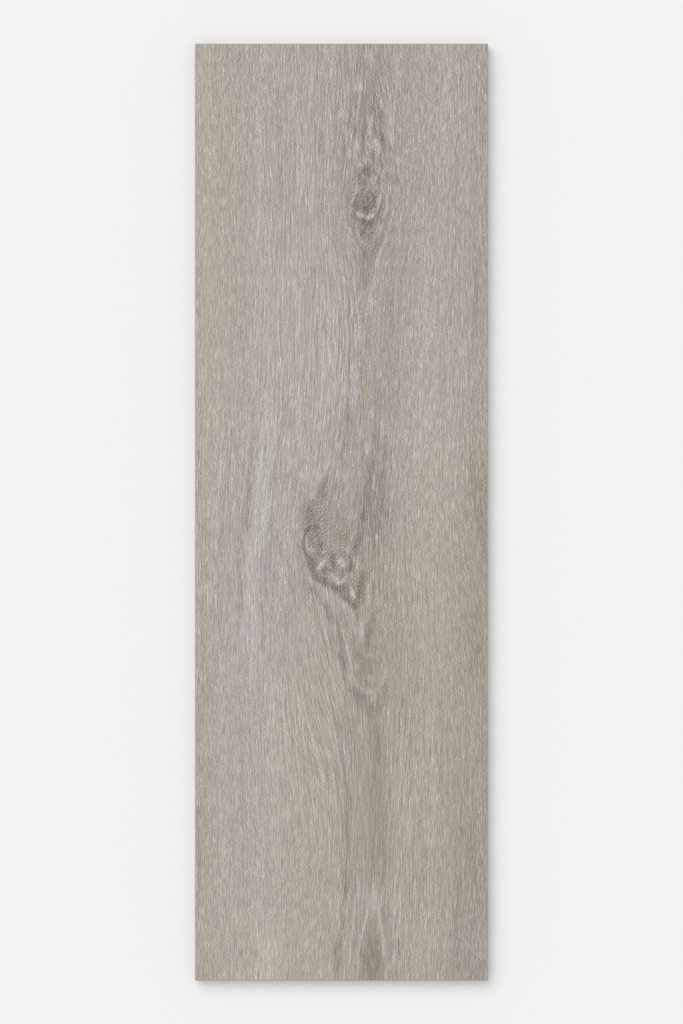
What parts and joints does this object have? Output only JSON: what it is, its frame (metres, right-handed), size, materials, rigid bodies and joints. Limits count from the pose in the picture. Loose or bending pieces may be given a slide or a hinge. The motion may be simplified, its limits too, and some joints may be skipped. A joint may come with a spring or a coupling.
{
  "type": "floor tile",
  "caption": "Rectangular wood-effect porcelain floor tile plank with bevelled face edges and a grid of shallow adhesive keys on its back.",
  "frame": {"origin": "middle of the plane that the tile beds on, which is the tops of its back ribs", "axes": "+Z out of the walking face, +Y along the tile's long side, +X across its width"},
  "size_m": [0.187, 0.598, 0.009],
  "materials": {
    "tile": "matt glazed wood-effect print on a fired porcelain body"
  },
  "bodies": {
    "root": {"tile": "tile"}
  },
  "joints": []
}
